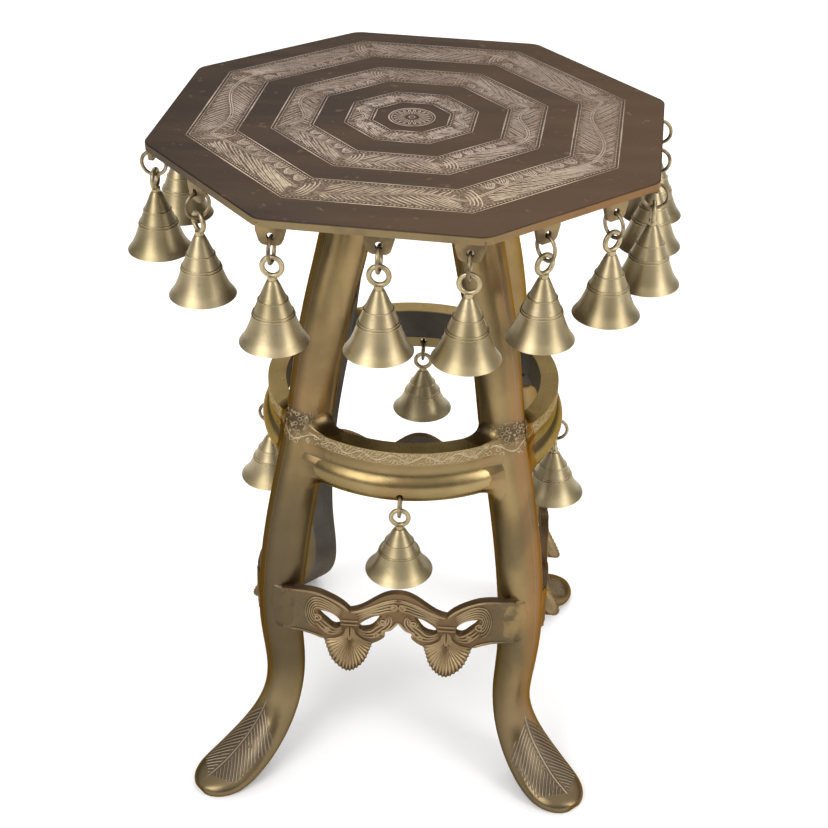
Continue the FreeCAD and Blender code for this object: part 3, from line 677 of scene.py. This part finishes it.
def shell(hub, rim, flutes, proud):
    """Fan from a hub to a rim and back under itself. It swells as a sine of the way out, and each
    flute is a cosine across it that deepens with the way out; the sides fall to the under face."""
    across = np.linspace(0.0, 1.0, flutes * 6 + 1)
    out = np.concatenate([np.linspace(0.0, 1.0, 12), np.linspace(1.0, 0.0, 4)])[:, None]
    edge = through(rim, len(across))
    scallop = 1.0 + 0.030 * np.cos(2.0 * math.pi * flutes * across) * (out > 0.95)
    flat = hub + (edge[None] - hub) * (out * scallop)[..., None]
    side = np.sqrt(1.0 - np.abs(2.0 * across - 1.0) ** 12)[None]
    swell = 0.65 * np.sin(0.5 * math.pi * out) * (1.0 - 0.75 * out ** 6)
    top = proud * (0.35 * np.sin(math.pi * out) + swell)
    flute = 0.30 * proud * out ** 0.6 * (np.cos(2.0 * math.pi * flutes * across)[None] - 1.0)
    upper = (np.arange(len(out)) < 12)[:, None]
    height = np.where(upper, (top + flute) * side, -0.0004 * np.sin(math.pi * out) * side)
    return np.concatenate([flat, height[..., None]], -1)


def curl(x, z, size, sense):
    """Spiral line of one and a half turns whose radius shrinks evenly to a quarter."""
    run = np.linspace(0.0, 1.0, 34)
    angle = 0.6 + sense * 3.0 * math.pi * run
    radius = size * (1.0 - 0.78 * run)
    return np.stack([x + radius * np.cos(angle) * 0.87, z + radius * np.sin(angle)], -1)


def joined(grids):
    """Points and faces of grids of points, each face between four neighbours of a grid."""
    points, faces, count = [], [], 0
    for grid in grids:
        rows, columns = grid.shape[:2]
        number = np.arange(rows * columns).reshape(rows, columns) + count
        corners = [number[:-1, :-1], number[1:, :-1], number[1:, 1:], number[:-1, 1:]]
        faces.append(np.stack(corners, -1).reshape(-1, 4))
        points.append(grid.reshape(-1, 3))
        count += rows * columns
    return np.concatenate(points), np.concatenate(faces)


def skin(name, grids):
    """One closed mesh from grids of points, doubles merged and all faces turned outwards."""
    piece = add_piece(name, *joined(grids))
    work = bmesh.new()
    work.from_mesh(piece.data)
    bmesh.ops.remove_doubles(work, verts=work.verts, dist=0.000005)
    bmesh.ops.recalc_face_normals(work, faces=work.faces)
    work.to_mesh(piece.data)
    work.free()
    piece.data.shade_smooth()
    return piece


def bent(patch):
    """The patch drawn on the flat pattern, set on the real plate. Across, the shares up to a break
    grow and the rest closes up to 1. Up, the shares are pressed together where the shell bends
    outwards, so the height falls by a share of what the flare gives."""
    across, up, proud = np.abs(patch[..., 0]), patch[..., 1], patch[..., 2]
    outer = PATTERN_BREAK * PATTERN_WIDER + (across - PATTERN_BREAK) * PATTERN_CLOSER
    across = np.where(across < PATTERN_BREAK, PATTERN_WIDER * across, outer) * np.sign(patch[..., 0])
    bend = np.clip((BEND_FROM - up) / BEND_FROM, 0.0, 1.2) ** 1.5
    rise = PATTERN_SIZE[1] * up + BEND_DROP * APRON_FLARE * bend
    height = (rise + PATTERN_FOOT - APRON_TIP) / APRON_RISE
    level, flare = np.array(FLARE_SHARES).T
    away = APRON_FACE + APRON_FLARE * np.interp(height, level, flare) + proud
    return np.stack([across * APRON_HALF, height * APRON_RISE + APRON_TIP, away], -1)


def seam(sign):
    """Mound of solder over one end of a plate as (along, up, away) in metres: a smooth line from the
    plate across its end to the leg, the same all the way up, which falls to its foot at the top and
    the bottom as the root of one less the eighth power of the run."""
    line = through(SEAM_LINE, 23)
    up = np.linspace(-1.0, 1.0, 27)[:, None]
    swell = np.sqrt(np.maximum(1.0 - np.abs(up) ** 8, 0.0))
    waist = 1.0 - 0.22 * up ** 2 + 0.05 * np.sin(up * 7.0)
    along = SEAM_EDGE + (line[None, :, 0] - SEAM_EDGE) * waist
    away = SEAM_FOOT + (line[None, :, 1] - SEAM_FOOT) * swell
    upper = np.stack([along * sign, SEAM_MIDDLE + SEAM_HALF * up + 0.0 * along, away], -1)
    under = upper[:, ::-1] * (1.0, 1.0, 0.0) + (0.0, 0.0, SEAM_FOOT)
    return np.concatenate([upper, under, upper[:, :1]], 1)


def apron_relief():
    """Grids of every rib, curl and shell of one plate as (along, up, away) in metres. Each is made
    on the pattern in metres, so its width and height are real, then turned to shares and bent."""
    size = np.array(PATTERN_SIZE)
    patches = []
    for sign in (1.0, -1.0):
        half = size * (sign, 1.0)
        for line in RIM_LINES:
            patches.append(rib(through(line, 44) * half, *RIM_RIB))
        for count, first, last in SCROLL_FAMILIES:
            for share in np.linspace(0.0, 1.0, count):
                line = through(first, 44) * (1.0 - share) + through(last, 44) * share
                patches.append(rib(line * half, *SCROLL_RIB))
        for x, z, radius, sense in CURLS:
            patches.append(rib(curl(x, z, radius, sense) * half, *CURL_RIB))
        hub, rim = SHELL_HUB * half, np.array(SHELL_RIM) * half
        patches.append(shell(hub, rim, SHELL_FLUTES, SHELL_PROUD))
    return [bent(patch / (*size, 1.0)) for patch in patches]


def set_on_side(grid, quarter):
    """The grid on the plate of one side: turned by quarters round the legs' middle."""
    front = np.stack([grid[..., 0], -grid[..., 2], grid[..., 1]], -1)
    return turned(front, quarter * math.pi / 2.0, LEG_AXIS)


apron_names = ("apron_front", "apron_right", "apron_back", "apron_left")
# Browned ground, rubbed and lit by a painted highlight where it stands proud of the plate, dull by the
# legs and on the back.
aprons = Finish("apron_brass", 1.0, 0.4, APRON_GRAZE)
cloud = aprons.noise(26.0, 4.0)
sand = aprons.noise(420.0, 4.0)
far_x, far_y = (aprons.x - LEG_AXIS[0]).size(), (aprons.y - LEG_AXIS[1]).size()
level = (aprons.z - APRON_TIP) / (FLARE_SHARES[-1][0] * APRON_RISE)
bend = (1.0 - level).most(0.0)
proud = far_x.most(far_y) - APRON_FACE - bend * bend * APRON_FLARE
# Rubbed brass with a painted highlight on what stands proud of the plate.
rubbed_and_highlight = proud.rise(0.0002, 0.0010)
near_leg = far_x.least(far_y).rise(0.054, 0.064) * (0.45 + aprons.noise(90.0, 4.0).rise(0.38, 0.60) * 0.55)
tone = cloud.rise(0.34, 0.66).colour(GROUND_DARK, GROUND_PALE)
tone = rubbed_and_highlight.colour(tone, cloud.rise(0.30, 0.70).colour(RUBBED_HIGHLIGHT_DARK, RUBBED_HIGHLIGHT_PALE))
tone = (near_leg * 0.85).colour(tone, APRON_SOLDER)
behind = proud.fall(-0.0050, -0.0040)
tone = behind.colour(tone, cloud.rise(0.35, 0.65).colour(APRON_BACK_DARK, APRON_BACK_PALE))
aprons.set("Base Color", tone)
aprons.set("Roughness", 0.44 - rubbed_and_highlight * 0.14 + sand * 0.22 + near_leg * 0.1 + behind * 0.15)
aprons.bump(sand * 0.6 + cloud, 0.0003)
aprons.wear(*apron_names)
relief = apron_relief()
for quarter, name in enumerate(apron_names):
    piece = skin(name + "_relief", [set_on_side(grid, quarter) for grid in relief])
    piece.data.materials.append(aprons.material)
    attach(piece, "stand")
seams = [set_on_side(seam(sign), quarter) for quarter in range(4) for sign in (1.0, -1.0)]
solder_seams = skin("apron_seams", seams)
solder_seams.data.materials.append(legs.material)
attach(solder_seams, "stand")


# Joints of hoop and legs: each arc of the hoop runs into the legs with a round fillet of brass, filed
# and buffed with them so that no seam shows.
FILLET_UP, FILLET_ALONG, FILLET_SUNK, FIRST_HALF = 0.0110, 0.0160, 0.0001, 0.0135
# Millimetres out from the hoop's face and down from its top, once round the section.
HOOP_PROFILE = (
    (-12.0, 0.0), (0.0, 0.0), (0.0, 9.8), (-0.5, 10.3), (-0.9, 14.3), (0.0, 18.3), (2.9, 22.5),
    (4.3, 27.0), (3.6, 31.8), (1.0, 35.8), (-2.0, 35.8), (-2.0, 28.0), (-11.5, 22.0), (-12.0, 0.0),
)
# Height and reach of points on a leg's line, then half its outline in shares of its depth and width.
LEG_LINE = ((0.2048, 0.1073), (0.2448, 0.0973), (0.2826, 0.0883), (0.3168, 0.0821))
LEG_WIDE, LEG_DEEP = 0.0277, 0.0284
LEG_OUTLINE = (
    (0.50, 0.00), (0.44, 0.26), (0.24, 0.43), (-0.06, 0.50), (-0.34, 0.47), (-0.47, 0.36), (-0.50, 0.18),
    (-0.50, 0.00),
)


def leg_side(level, out):
    """Half the width of a leg at a height and a reach from the middle. A cubic gives the reach of the
    leg's own line there, and its half outline gives the width for the depth past that line."""
    line = np.array(LEG_LINE)
    middle = np.polyval(np.polyfit(line[:, 0], line[:, 1], 3), level)
    outline = through(LEG_OUTLINE, 90)[::-1]
    share = np.clip((out - middle) / LEG_DEEP, -0.47, 0.45)
    return np.interp(share, outline[:, 0], outline[:, 1]) * LEG_WIDE, middle + share * LEG_DEEP


def fillet(side):
    """Grid round the section of the hoop, and from the hoop to the leg. Each row is a parabola: it
    leaves the hoop a little before the crease and ends on the leg at the section's own normal."""
    corners = np.array(HOOP_PROFILE) * (0.001, -0.001) + (HOOP_RADIUS, HOOP_TOP)
    run = np.concatenate([[0.0], np.cumsum(np.linalg.norm(np.diff(corners, axis=0), axis=1))])
    at = np.linspace(0.0, run[-1], 121)
    section = np.stack([np.interp(at, run, corners[:, 0]), np.interp(at, run, corners[:, 1])], -1)
    way = np.roll(section[:-1], -1, 0) - np.roll(section[:-1], 1, 0)
    way = sum(np.roll(way, step, 0) for step in range(-4, 5))
    normal = np.stack([-way[:, 1], way[:, 0]], -1) / np.linalg.norm(way, axis=1)[:, None]
    normal = np.concatenate([normal, normal[:1]])
    radius, level = section.T
    across = np.full(len(radius), FIRST_HALF)
    for _ in range(3):
        across = leg_side(level, np.sqrt(radius ** 2 - across ** 2))[0]
    crease = np.stack([np.sqrt(radius ** 2 - across ** 2), across, level], -1)
    away = across + FILLET_ALONG
    sunk = section - normal * FILLET_SUNK
    start = np.stack([np.sqrt(sunk[:, 0] ** 2 - away ** 2), away, sunk[:, 1]], -1)
    high = level + FILLET_UP * normal[:, 1]
    wide, out = leg_side(high, crease[:, 0] + FILLET_UP * normal[:, 0])
    end = np.stack([out, wide - FILLET_SUNK, high], -1)
    u = np.linspace(0.0, 1.0, 11)[None, :, None]
    grid = start[:, None] * (1.0 - u) ** 2 + 2.0 * crease[:, None] * u * (1.0 - u) + end[:, None] * u ** 2
    return grid * (1.0, side, 1.0)


fillets = []
for quarter in range(4):
    angle = math.radians(-45.0 + 90.0 * quarter)
    # The grid on the left of a leg runs the other way, so that its faces point outwards too.
    for grid in (fillet(1.0)[:, ::-1], fillet(-1.0)):
        fillets.append(turned(grid, angle, LEG_AXIS))
joints = add_piece("hoop_fillets", *joined(fillets))
joints.data.shade_smooth()
joints.data.materials.append(legs.material)
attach(joints, "stand")


# Bells: cast, then turned in a lathe to a thin cone with raised lines, and buffed to a satin gold.
# Each hangs by its cast loop.
BELL_DARK, BELL_PALE, BELL_SPECK = (0.350, 0.280, 0.155), (0.460, 0.375, 0.225), (0.270, 0.200, 0.100)

bells = Finish("bell_brass", 1.0, 0.3)
cloud = bells.noise(30.0, 3.0)
lathe_marks = bells.noise(900.0, 2.0, (0.04, 0.04, 1.0))
speck = bells.noise(240.0, 3.0).rise(0.62, 0.74)
tone = cloud.rise(0.34, 0.66).colour(BELL_DARK, BELL_PALE)
bells.set("Base Color", (speck * 0.35).colour(tone, BELL_SPECK))
bells.set("Roughness", 0.31 + lathe_marks * 0.12 + cloud * 0.08)
bells.bump(lathe_marks, 0.00006)
bells.wear(*sorted(name for name in nodes if "_bell_" in name))


# Links: rings of drawn brass wire, bent closed through the lugs or the hoop's lower lip and through
# the loops of the bells.
WIRE_DARK, WIRE_PALE = (0.150, 0.110, 0.065), (0.380, 0.300, 0.180)

wire = Finish("link_brass", 1.0, 0.35)
dull = wire.noise(130.0, 3.0)
wire.set("Base Color", dull.rise(0.35, 0.65).colour(WIRE_DARK, WIRE_PALE))
wire.set("Roughness", 0.28 + dull * 0.2)
wire.bump(dull, 0.0001)
wire.wear(*sorted(name for name in nodes if "_link_" in name))


# Screws: eight round-headed brass screws, never polished. They go up through the leg pads into the
# top and hold it.
SCREW_DARK, SCREW_PALE = (0.200, 0.150, 0.090), (0.420, 0.330, 0.180)

screws = Finish("screw_brass", 1.0, 0.45)
dull = screws.noise(160.0, 3.0)
screws.set("Base Color", dull.rise(0.35, 0.65).colour(SCREW_DARK, SCREW_PALE))
screws.set("Roughness", 0.38 + dull * 0.2)
screws.bump(dull, 0.0001)
screws.wear("top_screws")


# Floor: a large sheet of pale matt card under the stool, which keeps its shadow. It isn't part of the
# object, so it is staged.
FLOOR_HALF = 6.0
FLOOR_PALE = (0.93, 0.93, 0.93, 1.0)

corners = np.array([(-1.0, -1.0, 0.0), (1.0, -1.0, 0.0), (1.0, 1.0, 0.0), (-1.0, 1.0, 0.0)])
floor = add_piece("floor", corners * FLOOR_HALF, np.array([(0, 1, 2, 3)]))
pale = Finish("pale_floor", 0.0, 0.9)
pale.shader.inputs["Base Color"].default_value = FLOOR_PALE
floor.data.materials.append(pale.material)


# Studio: a white room to the camera and a pale one to the surfaces. What the metal mirrors has a dark
# belt at its level and brightens upwards. Three large soft lamps light the stool.
ROOM_PALE = (0.95, 0.95, 0.95)
MIRRORED_GREYS = ((0.0, 0.90), (0.42, 0.80), (0.50, 0.13), (0.62, 0.26), (0.80, 0.80), (1.0, 1.0))
LOW_AIM, HIGH_AIM = (0.0, 0.0, 0.25), (0.0, 0.0, 0.4)

world = bpy.data.worlds.new("studio")
bpy.context.scene.world = world
world.use_nodes = True
tree = world.node_tree
ground = tree.nodes["Background"]
path = tree.nodes.new("ShaderNodeLightPath")
sky = tree.nodes.new("ShaderNodeTexCoord")
seen = Signal(tree, path.outputs["Is Camera Ray"])
glossy = Signal(tree, path.outputs["Is Glossy Ray"])
up = seen.node("ShaderNodeSeparateXYZ", {}, {0: Signal(tree, sky.outputs["Generated"])}, 2)
stops = [(place, (grey,) * 3) for place, grey in MIRRORED_GREYS]
mirrored = up.node("ShaderNodeValToRGB", {"stops": stops}, {0: up * 0.5 + 0.5})
shade = glossy.colour(ROOM_PALE, mirrored)
tree.links.new(seen.colour(shade, (1.0, 1.0, 1.0)).socket, ground.inputs["Color"])
ground.inputs["Strength"].default_value = 1.0


def soft_lamp(name, place, aim, width, height, power):
    """A rectangular lamp at a place, facing a point: tipped by the angle between its way to that
    point and straight down, then turned by the way's compass angle."""
    lamp = bpy.data.lights.new(name, "AREA")
    lamp.shape, lamp.size, lamp.size_y, lamp.energy = "RECTANGLE", width, height, power
    holder = bpy.data.objects.new(name, lamp)
    bpy.context.scene.collection.objects.link(holder)
    away = np.array(place) - np.array(aim)
    flat = math.hypot(away[0], away[1])
    holder.rotation_euler = (math.atan2(flat, away[2]), 0.0, math.atan2(away[1], away[0]) + math.pi / 2)
    holder.location = place


soft_lamp("key_left", (-1.1, -1.6, 1.5), LOW_AIM, 1.2, 1.6, 26.0)
soft_lamp("key_right", (1.7, -0.9, 1.2), LOW_AIM, 0.7, 1.5, 16.0)
soft_lamp("over_back", (0.2, 1.4, 1.9), HIGH_AIM, 1.6, 0.6, 16.0)


# Camera: a 68 mm lens a little under a metre in front of the stool and above it, looking 33 degrees
# down, turned four degrees to the left and rolled one degree.
CAMERA_PLACE = (0.0678, -0.9091, 0.8272)
PITCH, ROLL, YAW = 0.572, 0.021, math.radians(4.0)
SENSOR_WIDTH, FOCAL_PIXELS, PICTURE_PIXELS = 36.0, 1574.7, 828.0

camera = bpy.data.cameras.new("camera")
camera.lens = SENSOR_WIDTH * FOCAL_PIXELS / PICTURE_PIXELS
camera.sensor_width = SENSOR_WIDTH
camera.clip_start = 0.05
viewer = bpy.data.objects.new("camera", camera)
bpy.context.scene.collection.objects.link(viewer)
ahead = np.array([-math.sin(YAW) * math.cos(PITCH), math.cos(YAW) * math.cos(PITCH), -math.sin(PITCH)])
level = np.array([math.cos(YAW), math.sin(YAW), 0.0])
above = np.cross(level, ahead)
right = math.cos(ROLL) * level + math.sin(ROLL) * above
upper = math.cos(ROLL) * above - math.sin(ROLL) * level
axes = np.stack([right, upper, -ahead], 1)
viewer.matrix_world = Matrix([[*axes[row], CAMERA_PLACE[row]] for row in range(3)] + [[0, 0, 0, 1]])
bpy.context.scene.camera = viewer

bpy.context.scene.view_settings.view_transform = "Standard"
